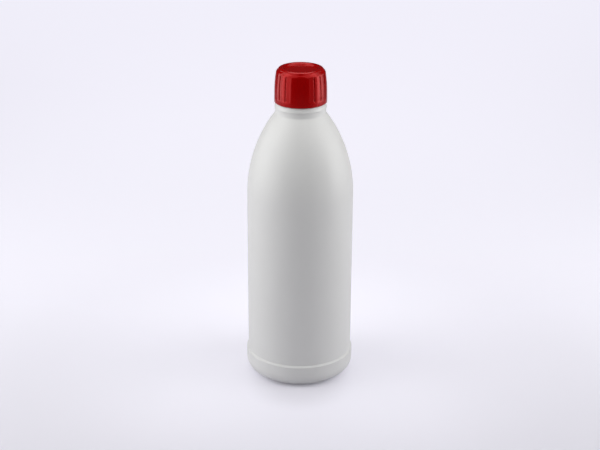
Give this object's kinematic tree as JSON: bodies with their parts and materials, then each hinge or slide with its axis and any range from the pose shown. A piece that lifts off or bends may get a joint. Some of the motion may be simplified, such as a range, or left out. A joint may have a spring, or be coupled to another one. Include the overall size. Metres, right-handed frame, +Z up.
{
  "type": "narrow mouth plastic bottle",
  "caption": "Round blow-moulded plastic bottle with a narrow threaded neck, closed by a ribbed screw cap with a foam liner.",
  "frame": {"origin": "centre of the standing plane, on the bottle's axis", "axes": "+Z up along the bottle's axis, -Y to the front, +X to the right seen from the front"},
  "size_m": [0.07, 0.07, 0.206],
  "materials": {
    "bottle_plastic": "satin white polyethylene",
    "cap_plastic": "glossy red polypropylene",
    "liner_foam": "matt white closed-cell foam"
  },
  "bodies": {
    "bottle": {"bottle": "bottle_plastic"},
    "liner": {"liner": "liner_foam"},
    "cap": {"cap": "cap_plastic"}
  },
  "joints": [
    {"name": "cap_rise", "type": "slide", "parent": "bottle", "child": "liner", "axis": [0, 0, 1], "range_m": [0, 0.00847]},
    {"name": "cap_turn", "type": "hinge", "parent": "liner", "child": "cap", "pos_m": [0, 0, 0.19], "axis": [0, 0, 1], "range_deg": [0, 720]}
  ],
  "couplings": [
    {"joint": "cap_turn", "follows": "cap_rise", "rad_per_m": 1484.2}
  ]
}
